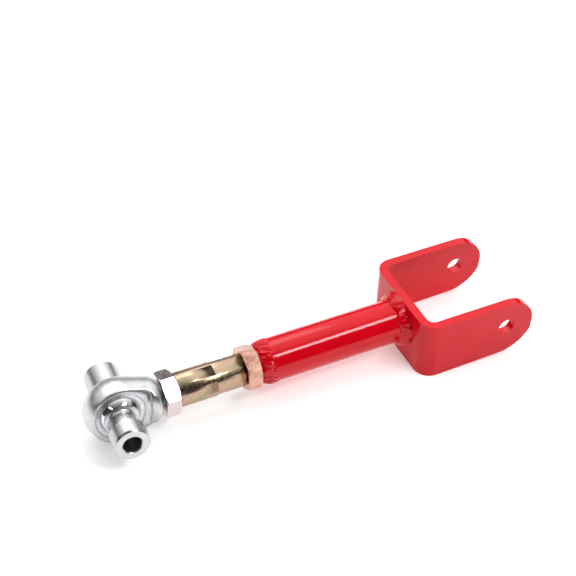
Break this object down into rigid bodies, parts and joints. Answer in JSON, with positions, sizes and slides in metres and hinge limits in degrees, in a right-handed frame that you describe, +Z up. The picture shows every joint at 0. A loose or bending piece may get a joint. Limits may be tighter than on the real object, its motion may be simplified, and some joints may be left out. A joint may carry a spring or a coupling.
{
  "type": "adjustable control arm",
  "caption": "Adjustable tubular suspension control arm with a bent-plate clevis at one end and a threaded rod end with misalignment spacers at the other.",
  "frame": {"origin": "centre of the rod end's ball, on the bolt bore", "axes": "+X along the arm from the ball to the clevis bolt, +Y along the clevis bolt, +Z up with the arm lying on its heel"},
  "size_m": [0.3306, 0.0794, 0.0492],
  "materials": {
    "red_powder_coat": "gloss",
    "yellow_zinc": "satin yellow zinc plate",
    "clear_zinc": "bright clear zinc plate",
    "satin_plated_steel": "satin",
    "race_steel": "ground",
    "ball_chrome": "polished",
    "turned_steel": "bright, fine turned"
  },
  "bodies": {
    "arm": {"arm_tube": "red_powder_coat", "threaded_insert": "red_powder_coat", "insert_weld": "red_powder_coat", "clevis_weld": "red_powder_coat", "clevis_bracket": "red_powder_coat"},
    "tube_nut": {"tube_jam_nut": "yellow_zinc"},
    "rod_nut": {"rod_end_jam_nut": "clear_zinc"},
    "sleeve": {"adjuster_sleeve": "yellow_zinc"},
    "rod_end": {"rod_end_body": "satin_plated_steel", "ball_race": "race_steel"},
    "ball": {"rod_end_ball": "ball_chrome"},
    "spacers": {"front_spacer": "turned_steel", "rear_spacer": "turned_steel"}
  },
  "joints": [
    {"name": "sleeve_travel", "type": "slide", "parent": "arm", "child": "rod_nut", "axis": [-1, 0, 0], "range_m": [0, 0.00953]},
    {"name": "sleeve_turn", "type": "hinge", "parent": "rod_nut", "child": "sleeve", "pos_m": [0.06, 0, 0], "axis": [1, 0, 0], "range_deg": [0, 2161]},
    {"name": "rod_end_travel", "type": "slide", "parent": "arm", "child": "rod_end", "axis": [-1, 0, 0], "range_m": [0, 0.01905]},
    {"name": "ball_tilt", "type": "hinge", "parent": "rod_end", "child": "ball", "pos_m": [0, 0, 0], "axis": [1, 0, 0], "range_deg": [-20, 15]},
    {"name": "bolt_spin", "type": "hinge", "parent": "ball", "child": "spacers", "pos_m": [0, 0, 0], "axis": [0.0834, 0.9927, -0.0872], "continuous": true},
    {"name": "tube_nut_turn", "type": "hinge", "parent": "arm", "child": "tube_nut", "pos_m": [0.1, 0, 0], "axis": [1, 0, 0], "range_deg": [0, 90]}
  ],
  "couplings": [
    {"joint": "sleeve_turn", "follows": "rod_end_travel", "rad_per_m": 1979},
    {"joint": "sleeve_travel", "follows": "rod_end_travel", "ratio": 0.5}
  ]
}
